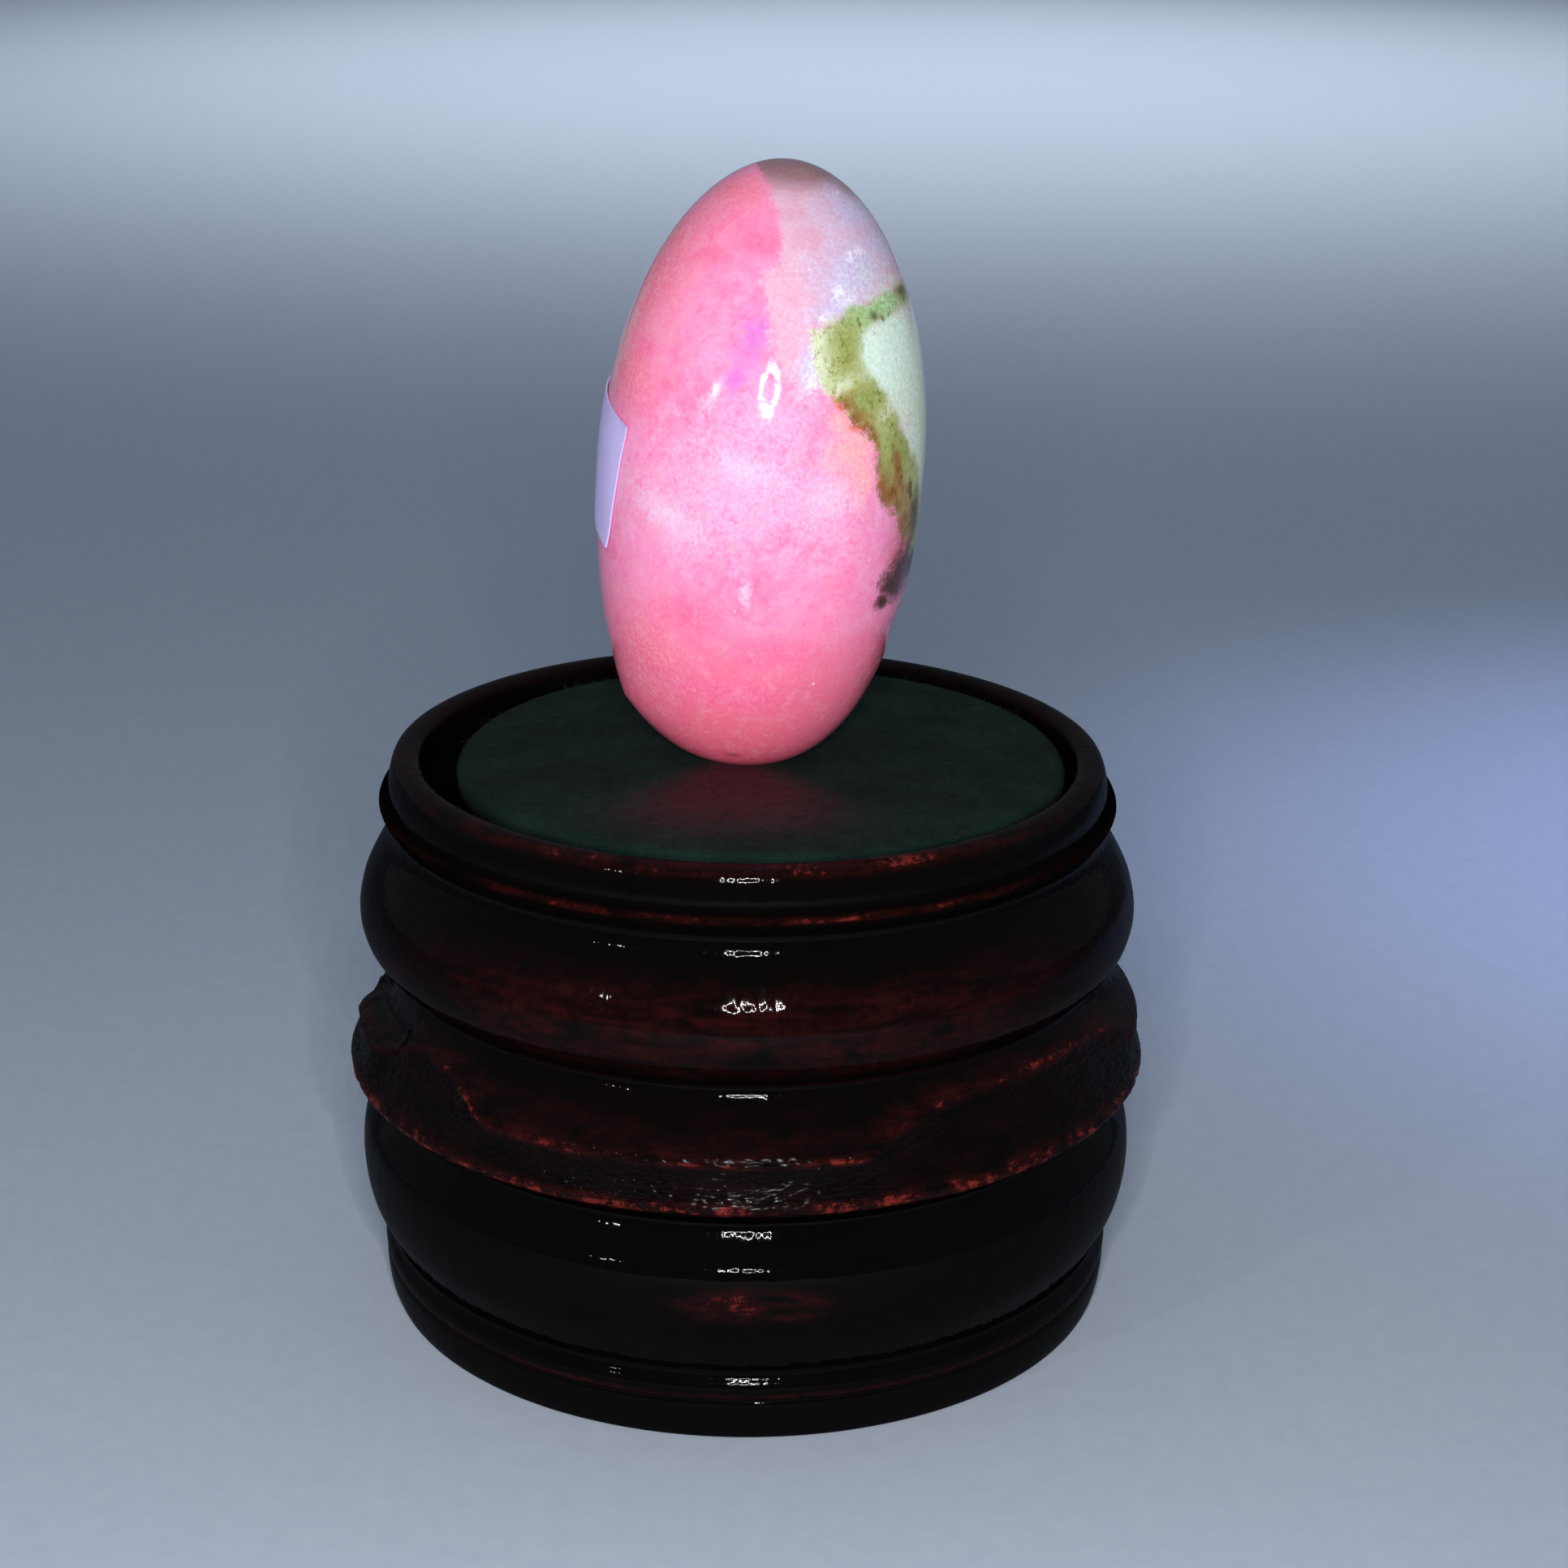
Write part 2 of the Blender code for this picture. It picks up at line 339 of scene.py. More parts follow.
class Shader:
    """A material with a Principled shader, and short calls for the nodes that colour it."""

    def __init__(self, name):
        self.material = bpy.data.materials.new(name)
        self.material.use_nodes = True
        self.tree = self.material.node_tree
        self.surface = self.tree.nodes["Principled BSDF"]
        self.place = self.tree.nodes.new("ShaderNodeTexCoord").outputs["Object"]

    def set(self, **values):
        """Sets or links inputs of the Principled shader by name, with underscores for spaces."""
        for name, value in values.items():
            self.put(self.surface.inputs[name.replace("_", " ")], value)

    def put(self, socket, value):
        """Links a socket to another node's output, or sets it to a number, a vector or a colour."""
        if isinstance(value, bpy.types.NodeSocket):
            self.tree.links.new(value, socket)
        elif socket.type == "RGBA" and not hasattr(value, "__len__"):
            socket.default_value = (value, value, value, 1.0)
        else:
            socket.default_value = value

    def number(self, name):
        """A number stored on the mesh's points."""
        made = self.tree.nodes.new("ShaderNodeAttribute")
        made.attribute_name = name
        return made.outputs["Fac"]

    def math(self, operation, first, second=0.0, third=0.0):
        """The result of a Math node on up to three numbers."""
        made = self.tree.nodes.new("ShaderNodeMath")
        made.operation = operation
        for socket, value in zip(made.inputs, (first, second, third)):
            self.put(socket, value)
        return made.outputs[0]

    def stretched(self, scale):
        """The object's coordinates, multiplied by a scale for each axis."""
        made = self.tree.nodes.new("ShaderNodeMapping")
        self.put(made.inputs["Vector"], self.place)
        made.inputs["Scale"].default_value = scale
        return made.outputs[0]

    def noise(self, size, detail=4.0, roughness=0.55, distortion=0.0, vector=None):
        """Cloudy noise from 0 to 1 with features of a size in metres."""
        made = self.tree.nodes.new("ShaderNodeTexNoise")
        self.put(made.inputs["Vector"], vector or self.place)
        made.inputs["Scale"].default_value = 1.0 / size
        made.inputs["Detail"].default_value = detail
        made.inputs["Roughness"].default_value = roughness
        made.inputs["Distortion"].default_value = distortion
        return made.outputs["Fac"]

    def step(self, value, low, high):
        """0 where the value is at low, 1 where it is at high, soft between them."""
        made = self.tree.nodes.new("ShaderNodeMapRange")
        made.interpolation_type = "SMOOTHSTEP"
        for name, number in (("Value", value), ("From Min", low), ("From Max", high)):
            self.put(made.inputs[name], number)
        return made.outputs["Result"]

    def blend(self, share, first, second, kind="MIX"):
        """A colour a share of the way from the first to the second, or their product by that share."""
        made = self.tree.nodes.new("ShaderNodeMix")
        made.data_type = "RGBA"
        made.blend_type = kind
        colours = [socket for socket in made.inputs if socket.type == "RGBA"]
        for socket, value in zip((made.inputs[0], *colours), (share, first, second)):
            self.put(socket, value)
        return made.outputs[2]

    def bump(self, height, depth, strength=1.0, normal=None):
        """A surface normal for a relief of height 0 to 1 with a depth in metres."""
        made = self.tree.nodes.new("ShaderNodeBump")
        made.inputs["Strength"].default_value = strength
        made.inputs["Distance"].default_value = depth
        self.put(made.inputs["Height"], height)
        if normal is not None:
            self.put(made.inputs["Normal"], normal)
        return made.outputs["Normal"]


def dress(piece, shader, slot, *nodes):
    """Gives a new piece its material, its place among the moving bodies and the nodes it stands for."""
    piece.data.materials.clear()
    piece.data.materials.append(shader.material)
    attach(piece, "root")
    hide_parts(*nodes)


# The stand


def scoop(azimuth):
    """How far the ring's edge is cut back into the cove at an azimuth: 0 on a tongue, up to SCOOP_DEPTH."""
    for start, end in TONGUES:
        if start <= azimuth <= end or start <= azimuth - 360.0 <= end:
            return 0.0
    return SCOOP_DEPTH * (1.0 - math.exp(-corner_distance(azimuth) / SCOOP_RAMP))


def corner_distance(azimuth):
    """How many degrees away the nearest end of a tongue is."""
    return min(abs(turned_apart(azimuth, limit)) for tongue in TONGUES for limit in tongue)


def wear_and_light_at(azimuth, height):
    """How red the lacquer is at a place of the turned outline, from 0 to 1: wear, with painted front light
    that leaves the sides less red.
    """
    worn = max(strength * smooth(spread, RUB_CORE * spread, abs(height - middle))
               for middle, spread, strength in RUBBED)
    # Less red at the sides than in front: painted light, as the front faces the lamps.
    worn *= mix(PAINTED_LIGHT_AT_SIDES, 1.0, smooth(*PAINTED_LIGHT_FADE, abs(turned_apart(azimuth, 0.0))))
    centre, middle, wide, high, strength = RUBBED_PATCH
    away = math.hypot(turned_apart(azimuth, centre) / wide, (height - middle) / high)
    return max(worn, strength * smooth(1.0, 0.5, away))


def gloss_at(radius, height):
    """How much of the gloss is left: none in the recess and on the worn bead under the rim."""
    return smooth(RIM[0][0], RIM[2][0], radius) * smooth(*WORN_REACH, abs(height - WORN_BEAD))


RIM_LINE = through(RIM, RIM_STEPS)
UPPER_LINE = through(UPPER_BULGE, TURNING_STEPS)[1:]
LOWER_LINE = through(LOWER_BULGE, TURNING_STEPS)[1:]
FOOT_LINE = through(FOOT, TURNING_STEPS)[1:]


def stand_outline(azimuth):
    """The stand's outline at an azimuth, in millimetres, from the recess down to the floor.

    Each point is its radius, its height, how far it is carved by hand and how red its lacquer is, from wear
    and painted light.
    """
    def plain(points):
        """A stretch that is turned only."""
        return [(radius, height, 0.0, wear_and_light_at(azimuth, height)) for radius, height in points]

    start, end = LEDGE
    ledge = min(smooth(start - LEDGE_SOFTNESS, start + LEDGE_SOFTNESS, azimuth),
                smooth(end + LEDGE_SOFTNESS, end - LEDGE_SOFTNESS, azimuth))
    cove = [(mix(a[0], b[0], ledge), mix(a[1], b[1], ledge)) for a, b in zip(COVE, LEDGE_COVE)]
    cut = scoop(azimuth)
    slope = []
    for row in range(1, COVE_ROWS + 1):
        share = row / COVE_ROWS
        # The slope's red grows towards its outer edge: painted light, the outer part being the lit one.
        slope.append((*along(cove, (1.0 - cut) * share), share ** 3, PAINTED_SLOPE_LIGHT * share ** 2.5))
    edge = slope[-1]
    band = []
    for row in range(1, BAND_ROWS + 1):
        share = row / BAND_ROWS
        radius = mix(edge[0], LIP[0], share) - BAND_HOLLOW * math.sin(math.pi * share)
        rub_and_light = max(BAND_RUB, smooth(*BAND_UPPER_EDGE, share), smooth(*BAND_LOWER_EDGE, share))
        band.append((radius, mix(edge[1], LIP[1], share), 1.0, rub_and_light))
    under = []
    line = through(UNDERSIDE, TURNING_STEPS)[1:]
    for row, (radius, height) in enumerate(line):
        share = (row + 1) / len(line)
        under.append((radius, height, 1.0 - share, smooth(*UNDER_EDGE, share)))
    recess = [(RIM[0][0] * share, RECESS_FLOOR, 0.0, 0.0) for share in RECESS_RINGS]
    return [*recess, *plain(RIM_LINE), *plain(UPPER_LINE), *slope, *band, *under, *plain(LOWER_LINE),
            *plain(FOOT_LINE)]


def carved_out(spot, azimuth, height, carved):
    """How far out the surface stands from the turned outline, in millimetres: hand carving and chips."""
    out = WAVES * speckle(spot, WAVE_SIZE, 2)
    if carved > 0.0:
        crumbled = smooth(*CRUMBLED_FROM, corner_distance(azimuth))
        out += carved * (CARVING + CRUMBLING * crumbled) * speckle(spot, CRUMB_SIZE)
        for centre, middle, rise, wide, high in CHIPS:
            across = math.radians(turned_apart(azimuth, centre)) * LIP[0] / wide
            out += rise * math.exp(-across ** 2 - ((height - middle) / high) ** 2)
    return out


def build_stand():
    """The stand, from its outline at each azimuth, kept inside the ring's full reach."""
    columns = []
    for step in range(STAND_SEGMENTS):
        azimuth = 360.0 * step / STAND_SEGMENTS
        wobble = WOBBLE * noise.noise(around(azimuth) * WOBBLE_PACE)
        column = []
        for radius, height, carved, rub_and_light in stand_outline((azimuth + wobble) % 360.0):
            spot = around(azimuth) * radius + Vector((0.0, 0.0, height))
            spot += around(azimuth) * carved_out(spot, azimuth, height, carved)
            reach = math.hypot(spot.x, spot.y)
            if reach > LIP[0]:
                spot = Vector((spot.x * LIP[0] / reach, spot.y * LIP[0] / reach, spot.z))
            spot.z -= RIM_TILT * spot.x / LIP[0] * smooth(*TILT_RISE, height)
            column.append((spot * MM, carved, rub_and_light))
        columns.append(column)
    rings = [[spot for spot, _, _ in ring] for ring in zip(*columns)]
    top, bottom = Vector((0.0, 0.0, RECESS_FLOOR * MM)), Vector((0.0, 0.0, 0.0))
    stand = closed_turning("turned_stand", rings, top, bottom)
    attribute(stand, "gloss", [gloss_at(spot.xy.length / MM, spot.z / MM) for ring in rings for spot in ring]
              + [0.0, 1.0])
    for index, name in ((1, "carved"), (2, "rub_and_light")):
        attribute(stand, name, [entry[index] for ring in zip(*columns) for entry in ring] + [0.0, 0.0])
    dress(stand, lacquer(), "lacquered_wood", "stand")


def lacquer():
    """Nearly black wood under a thin gloss lacquer, worn redder on its edges and bulges, the red partly
    painted light that is strongest in front.
    """
    shader = Shader("lacquered_wood")
    grain = shader.noise(1.0, 6.0, 0.65, 0.6, shader.stretched((220.0, 220.0, 1500.0)))
    mottle = shader.noise(0.7 * MM, 6.0, 0.75)
    streaks = shader.noise(1.0, 4.0, 0.6, 0.3, shader.stretched((300.0, 300.0, 900.0)))
    # The red share is wear and painted front light together, so the red and bare colours below carry painted
    # light too.
    share = shader.math("MULTIPLY", shader.number("rub_and_light"), shader.step(streaks, 0.30, 0.62))
    share = shader.math("MULTIPLY", share, shader.step(mottle, 0.25, 0.6))
    dark = shader.blend(grain, colour(3, 3, 3), colour(10, 6, 6))
    red = shader.blend(shader.step(grain, 0.3, 0.7), colour(28, 9, 9), colour(54, 14, 13))
    bare = shader.blend(mottle, colour(60, 14, 12), colour(128, 44, 36))
    red = shader.blend(shader.step(share, 0.62, 0.92), red, bare)
    shader.set(Base_Color=shader.blend(share, dark, red))
    shader.set(Roughness=0.5, Specular_IOR_Level=0.0)
    shader.set(Coat_Weight=shader.math("MULTIPLY", shader.number("gloss"), GLOSS))
    shader.set(Coat_Roughness=0.05, Coat_IOR=1.5)
    flow = shader.noise(1.0, 2.0, 0.5, 0.0, shader.stretched((1100.0, 1100.0, 240.0)))
    ripple = shader.bump(flow, FLOW_DEPTH)
    cuts = shader.noise(1.0, 1.0, 0.5, 0.4, shader.stretched((1400.0, 1400.0, 4200.0)))
    cuts = shader.math("MULTIPLY", cuts, shader.number("carved"))
    fine = shader.bump(cuts, CUT_DEPTH, 1.0, ripple)
    shader.set(Normal=fine, Coat_Normal=fine)
    return shader


# The felt pad


def build_pad():
    """A thick round of felt with a rounded shoulder, a soft uneven top and loose fibres on it."""
    draw = random.Random(5)
    flat = PAD_RADIUS - PAD_SHOULDER
    profile = []
    for ring in range(1, PAD_RINGS + 1):
        share = ring / PAD_RINGS
        profile.append((flat * share, PAD_TOP - PAD_CROWN * share ** 3))
    for step in range(1, SHOULDER_RINGS + 1):
        turn = math.radians(90.0) * step / SHOULDER_RINGS
        profile.append((flat + PAD_SHOULDER * math.sin(turn),
                        PAD_TOP - PAD_CROWN - PAD_SHOULDER * (1.0 - math.cos(turn))))
    profile.append((PAD_RADIUS - 0.1 * MM, PAD_FLOOR))
    rings = []
    for radius, height in profile:
        ring = []
        for segment in range(PAD_SEGMENTS):
            point = PAD_CENTRE + around(360.0 * segment / PAD_SEGMENTS) * radius
            point.z = height
            lift = PAD_GRAIN * speckle(point, PAD_GRAIN_SIZE) + PAD_WAVES * speckle(point, PAD_WAVE_SIZE, 2)
            ring.append(point + Vector((0.0, 0.0, lift if height > PAD_FLOOR else 0.0)))
        rings.append(ring)
    top = PAD_CENTRE + Vector((0.0, 0.0, PAD_TOP))
    pad = closed_turning("felt", rings, top, PAD_CENTRE + Vector((0.0, 0.0, PAD_FLOOR)))
    join(pad, build_fibres(draw, flat))
    spots = [vertex.co for vertex in pad.data.vertices]
    # Stores how far each point of the felt takes the stone's painted reflection.
    attribute(pad, "glow", [painted_stone_bounce(spot - STONE_BASE) for spot in spots])
    dress(pad, felt(), "felt", "felt_pad")


def painted_stone_bounce(offset):
    """How strongly the felt in front of the stone shows a painted reflection of its lit face, at an offset
    from its foot.
    """
    turn = math.degrees(math.atan2(offset.x, -offset.y))
    return smooth(*PAINTED_BOUNCE_REACH, offset.xy.length / MM) * smooth(*PAINTED_BOUNCE_TURN, abs(turn))


def build_fibres(draw, reach):
    """Loose fibres: narrow ribbons with a bend, lying on the felt's top at all angles."""
    points, faces = [], []
    for _ in range(FIBRES):
        radius = reach * math.sqrt(draw.random()) * 1.02
        place = PAD_CENTRE + around(draw.uniform(0.0, 360.0)) * radius
        heading = draw.uniform(0.0, 360.0)
        bend = draw.uniform(*FIBRE_BEND)
        length = draw.uniform(*FIBRE_LENGTH) * MM
        width = draw.uniform(*FIBRE_HALF_WIDTH) * MM
        height = PAD_TOP - PAD_CROWN * (radius / reach) ** 3 + draw.uniform(*FIBRE_HEIGHT) * MM
        arch = draw.uniform(*FIBRE_ARCH) * MM
        start = len(points)
        for step in range(FIBRE_STEPS + 1):
            share = step / FIBRE_STEPS
            ahead = around(heading + bend * share)
            across = Vector((-ahead.y, ahead.x, 0.0)) * width
            spot = place + Vector((0.0, 0.0, height + arch * math.sin(math.pi * share)))
            points += [spot - across, spot + across]
            place = place + ahead * length / FIBRE_STEPS
        for step in range(FIBRE_STEPS):
            corner = start + 2 * step
            faces.append((corner, corner + 1, corner + 3, corner + 2))
    return mesh_object("fibres", points, faces)


def join(piece, other):
    """Adds another mesh object's mesh to a piece."""
    with bpy.context.temp_override(active_object=piece, object=piece,
                                   selected_editable_objects=[piece, other]):
        bpy.ops.object.join()


def felt():
    """Matte black-green felt, mottled, with a painted reflection of the stone's light in front of it."""
    shader = Shader("felt")
    nap = shader.noise(0.22 * MM, 5.0, 0.75)
    patches = shader.noise(3.5 * MM, 3.0)
    dark = shader.blend(nap, colour(5, 12, 10), colour(24, 44, 38))
    light = shader.blend(nap, colour(8, 20, 17), colour(32, 54, 47))
    base = shader.blend(shader.step(patches, 0.35, 0.7), dark, light)
    # The warm colour is a painted reflection of the stone's light on the felt in front of it.
    warm = shader.blend(nap, colour(36, 13, 19), colour(98, 42, 54))
    bounce_share = shader.math("MULTIPLY", shader.number("glow"), PAINTED_BOUNCE_SHARE)
    shader.set(Base_Color=shader.blend(bounce_share, base, warm))
    shader.set(Roughness=0.9, Specular_IOR_Level=0.04, Sheen_Weight=0.01, Sheen_Roughness=0.5)
    shader.set(Normal=shader.bump(shader.noise(0.16 * MM, 4.0, 0.75), 0.08 * MM, 0.9))
    return shader


# The stone

# Each mark: its name, its two colours, how far its border wanders, the depths where it starts and is full,
# and its ovals as azimuth, height, half width, half height and tilt to the right, in millimetres and degrees
PINK_MARKS = (
    ("light", (255, 176, 216), (246, 190, 224), 0.9, -0.6, 0.9, (
        (-8.0, 18.6, 5.4, 3.4, 0.0), (20.0, 18.3, 3.8, 3.0, 0.0), (0.0, 22.2, 2.8, 1.8, 0.0),
        (-33.0, 16.6, 3.6, 1.7, 20.0), (150.0, 9.0, 3.4, 3.0, 0.0), (-150.0, 19.0, 3.6, 4.6, 0.0),
        (-115.0, 14.0, 2.6, 5.0, 0.0),
    )),
    ("cloud", (250, 208, 230), (240, 208, 238), 0.9, -0.3, 1.1, (
        (-34.0, 16.5, 2.6, 1.0, 25.0), (-21.5, 23.4, 0.45, 1.4, 25.0), (11.5, 24.4, 0.8, 1.3, 0.0),
        (24.0, 18.2, 1.6, 1.2, 0.0), (-3.0, 12.5, 0.4, 0.9, 0.0), (-5.0, 19.6, 2.6, 0.9, 10.0),
        (150.0, 8.0, 1.8, 1.2, 0.0), (-140.0, 21.0, 1.4, 2.2, 30.0),
    )),
    ("coral", (255, 122, 150), (255, 156, 178), 0.8, -0.8, 1.0, (
        (-72.0, 28.5, 3.2, 6.6, 0.0), (-50.0, 34.0, 2.2, 1.4, 0.0), (-62.0, 23.6, 2.2, 2.2, 0.0),
        (-100.0, 24.0, 3.6, 8.0, 0.0), (-44.0, 7.4, 2.0, 2.6, 0.0), (-165.0, 30.0, 3.4, 4.0, 0.0),
        (115.0, 7.0, 4.0, 3.0, 0.0),
    )),
    ("rose", (252, 112, 160), (255, 138, 180), 0.9, -0.6, 1.0, (
        (-13.0, 31.6, 1.5, 0.9, 0.0), (-36.0, 30.6, 1.2, 0.5, 0.0), (-55.0, 25.2, 1.2, 0.6, 0.0),
        (-6.0, 6.2, 4.6, 1.0, 0.0), (-24.0, 10.8, 2.2, 1.2, 0.0), (10.0, 9.0, 2.4, 1.0, 0.0),
        (-41.0, 23.6, 0.5, 0.4, 0.0), (-130.0, 10.0, 3.0, 1.6, 0.0),
    )),
    ("magenta", (255, 122, 210), (252, 140, 226), 0.9, -0.7, 1.1, (
        (-10.5, 26.7, 0.8, 1.6, 0.0), (-6.0, 27.2, 0.7, 0.7, 0.0), (-14.0, 24.6, 0.5, 0.9, 0.0),
    )),
    ("peach", (255, 178, 184), (255, 196, 198), 1.0, -0.6, 0.8, (
        (27.0, 22.7, 1.0, 1.1, -30.0), (32.0, 21.0, 1.7, 1.3, -20.0), (37.0, 19.4, 0.9, 1.2, 0.0),
        (-78.0, 25.0, 1.0, 3.0, 0.0),
    )),
    ("ember", (246, 116, 112), (252, 140, 130), 0.8, -0.4, 0.9, (
        (24.5, 23.6, 0.3, 0.9, -30.0), (33.0, 22.2, 0.9, 0.2, 0.0),
    )),
    ("dusk", (180, 84, 98), (206, 108, 122), 0.8, -0.7, 0.9, (
        (74.0, 9.0, 2.2, 4.4, 0.0), (62.0, 14.4, 1.5, 1.9, 0.0), (96.0, 8.0, 3.0, 4.0, 0.0),
        (-3.0, 1.7, 0.5, 0.25, 0.0),
    )),
)
PALE_MARKS = (
    ("beige", (246, 184, 206), (250, 194, 214), 0.9, -0.7, 0.9, (
        (2.0, 28.0, 1.2, 1.9, 0.0), (7.0, 26.6, 0.9, 1.4, 0.0),
    )),
    ("lavender", (204, 202, 232), (222, 214, 240), 0.7, -0.8, 0.8, (
        (38.0, 30.4, 2.6, 1.8, -15.0), (60.0, 33.4, 2.6, 1.5, 0.0), (68.0, 31.6, 2.0, 1.4, 0.0),
        (26.0, 28.6, 1.8, 0.8, -20.0), (13.0, 25.4, 0.7, 1.4, 0.0), (120.0, 32.0, 3.0, 2.0, 0.0),
    )),
    ("frost", (224, 222, 255), (246, 246, 255), 1.0, -0.1, 0.9, (
        (26.5, 29.4, 0.6, 0.4, 0.0), (37.0, 31.2, 0.4, 0.4, 0.0), (44.0, 31.4, 0.6, 0.3, 0.0),
        (19.0, 28.0, 0.8, 0.4, -30.0), (54.0, 34.2, 0.5, 0.2, 0.0), (31.0, 28.9, 0.9, 0.3, -15.0),
        (14.0, 24.6, 0.5, 0.8, 0.0),
    )),
    ("sage", (208, 242, 208), (232, 250, 230), 0.7, -0.9, 0.5, (
        (64.0, 25.0, 3.6, 3.8, 0.0), (76.0, 22.0, 3.4, 4.6, 0.0), (104.0, 22.0, 4.6, 5.6, 0.0),
    )),
    ("drab", (160, 126, 126), (178, 146, 146), 0.7, -0.5, 0.8, (
        (40.0, 35.1, 2.0, 0.6, 0.0), (100.0, 34.4, 2.4, 0.9, 0.0),
    )),
    ("mint", (206, 255, 226), (238, 255, 242), 0.9, -0.7, 0.4, (
        (44.0, 26.0, 2.4, 1.9, 0.0), (55.0, 26.6, 1.7, 1.4, 0.0), (41.0, 24.9, 1.0, 0.9, 0.0),
    )),
)
VEIN_MARKS = (
    ("lime", (212, 242, 188), (244, 255, 234), 1.5, -0.8, 0.4, (
        (13.6, 26.4, 1.2, 2.0, 0.0), (17.5, 28.0, 1.8, 0.7, -25.0), (36.5, 26.4, 0.5, 1.3, 0.0),
        (50.0, 23.4, 1.2, 0.35, -40.0), (27.0, 24.6, 0.8, 0.3, -35.0),
    )),
    ("leaf", (142, 192, 124), (202, 240, 188), 1.3, -0.7, 0.8, (
        (40.0, 28.3, 2.0, 1.0, 0.0), (54.0, 28.6, 1.8, 0.9, 0.0), (100.0, 29.0, 3.0, 1.0, 0.0),
    )),
    ("moss", (130, 146, 70), (164, 180, 98), 1.5, -1.0, 1.4, (
        (28.0, 26.6, 1.3, 1.9, 0.0), (54.0, 20.6, 1.8, 2.6, -20.0), (37.0, 23.8, 2.0, 1.2, -35.0),
    )),
    ("umber", (136, 92, 48), (162, 122, 66), 1.3, -0.8, 0.8, (
        (26.0, 23.3, 0.9, 0.45, -40.0), (30.5, 22.6, 0.9, 0.4, -30.0), (35.0, 22.0, 0.8, 0.45, -30.0),
        (40.0, 21.0, 0.45, 1.0, 0.0), (41.5, 19.7, 0.5, 1.0, 0.0), (45.0, 18.9, 1.0, 0.9, -35.0),
        (50.0, 18.2, 1.3, 0.8, -30.0), (55.0, 17.4, 1.4, 0.8, -30.0), (61.0, 16.4, 1.5, 1.0, -30.0),
        (67.0, 15.2, 1.4, 1.2, -30.0), (54.0, 19.4, 0.4, 1.4, -20.0),
    )),
    ("shade", (78, 74, 24), (112, 104, 48), 1.2, -0.4, 0.9, (
        (43.5, 28.1, 0.4, 0.35, 0.0), (47.5, 27.7, 0.35, 0.5, 0.0), (74.0, 29.1, 1.4, 0.7, 0.0),
        (72.0, 16.4, 1.0, 2.0, 0.0), (64.0, 18.2, 0.3, 0.9, -20.0),
    )),
)
DARK_MARKS = (
    ("dark", (48, 26, 6), (98, 58, 24), 0.9, -0.5, 0.5, (
        (59.0, 12.6, 1.3, 0.9, 20.0), (65.0, 13.4, 1.4, 1.3, 0.0), (55.0, 11.8, 0.8, 0.5, 0.0),
        (76.0, 13.2, 1.6, 1.2, 0.0),
    )),
    ("speck", (255, 226, 238), (255, 244, 248), 0.2, 0.0, 0.6, (
        (13.0, 30.5, 0.16, 0.12, 0.0), (-43.0, 5.3, 0.2, 0.12, 30.0), (43.0, 14.6, 0.14, 0.22, 0.0),
        (28.5, 7.1, 0.14, 0.2, 0.0), (36.0, 19.2, 0.14, 0.16, 0.0), (-6.0, 11.5, 0.1, 0.14, 0.0),
    )),
)

# The borders of the pale zone and of the vein, which is the area between two loops: azimuth and height
PALE_ZONE = ((
    (-90.0, 35.15), (-30.0, 34.6), (-15.0, 34.0), (-9.0, 33.6), (-2.5, 32.2), (0.0, 31.1), (-2.5, 30.5),
    (-9.0, 30.1), (-7.5, 29.5), (-3.0, 27.3), (0.0, 25.5), (5.0, 24.8), (11.0, 23.8), (15.0, 24.3),
    (25.0, 23.9), (35.0, 22.6), (45.0, 20.0), (55.0, 17.8), (66.0, 15.6), (74.0, 13.8), (90.0, 13.0),
    (108.0, 13.4), (122.0, 15.8), (134.0, 20.0), (142.0, 25.0), (146.0, 30.0), (160.0, 33.6), (200.0, 35.1),
),)
VEIN_ZONE = (
    ((96.0, 29.3), (75.0, 29.6), (60.0, 29.3), (45.0, 29.0), (36.0, 28.7), (30.0, 28.5), (24.0, 28.2),
     (17.5, 27.8), (13.8, 27.3), (13.4, 25.9), (17.0, 24.7), (23.5, 23.6), (30.0, 22.5), (37.5, 21.9),
     (40.6, 21.0), (40.6, 20.0), (42.5, 18.7), (47.5, 17.7), (55.0, 16.7), (60.0, 15.7), (66.0, 14.7),
     (72.5, 13.5), (85.0, 12.3), (100.0, 11.8), (115.0, 12.8), (129.0, 15.6), (139.0, 19.6), (143.0, 24.0),
     (136.0, 27.6), (118.0, 29.2)),
    ((96.0, 28.2), (75.0, 28.2), (60.0, 28.1), (45.0, 27.7), (36.0, 27.2), (36.0, 25.5), (42.5, 24.5),
     (49.0, 23.5), (55.0, 22.0), (60.0, 20.7), (66.0, 20.0), (72.0, 18.5), (80.0, 16.4), (92.0, 14.4),
     (106.0, 14.4), (120.0, 16.6), (130.0, 20.2), (134.0, 24.0), (124.0, 27.0)),
)

# The spacing of the places on a border, and the depths outside loops and ovals before any is looked at
BORDER_STEP = 0.25
OUTSIDE_LOOPS = 99.0
OUTSIDE_OVALS = -4.0

# Broad dents (negative) and fullness of the polished surface: azimuth, height, half width and height, depth
STONE_SWELLS = (
    (84.0, 9.4, 3.2, 2.6, -0.22), (60.0, 12.9, 1.0, 0.7, -0.05), (-75.0, 4.0, 5.0, 3.4, 0.30),
    (-62.0, 24.0, 4.0, 4.0, 0.08),
)


